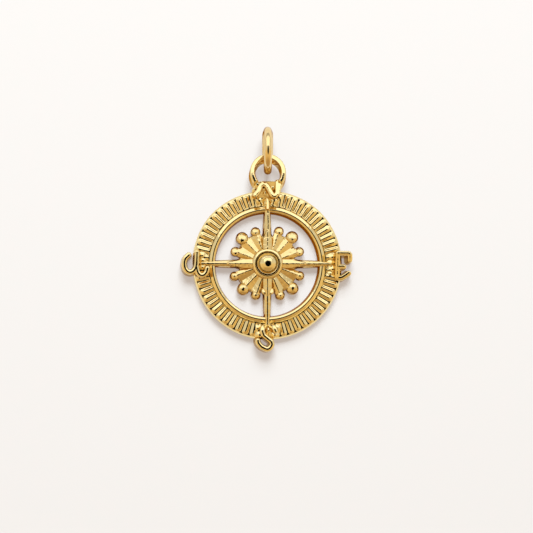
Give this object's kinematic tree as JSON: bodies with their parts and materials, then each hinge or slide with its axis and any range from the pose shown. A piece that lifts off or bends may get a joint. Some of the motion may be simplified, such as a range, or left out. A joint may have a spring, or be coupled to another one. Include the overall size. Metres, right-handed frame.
{
  "type": "compass pendant",
  "caption": "Cast compass pendant: ribbed ring, compass rose with beaded rays and needles, four direction letters, a leaning loop and a jump ring.",
  "frame": {"origin": "centre of the ring's opening, on the flat back of the casting", "axes": "+Z out of the pendant's front, +Y towards the north letter, the loop and the jump ring, +X towards the east letter"},
  "size_m": [0.0188, 0.0246, 0.0052],
  "materials": {
    "gold_casting": "polished gold plate over a casting",
    "gold_wire": "bright drawn wire, gold plated"
  },
  "bodies": {
    "root": {"compass_casting": "gold_casting", "jump_ring": "gold_wire"}
  },
  "joints": []
}
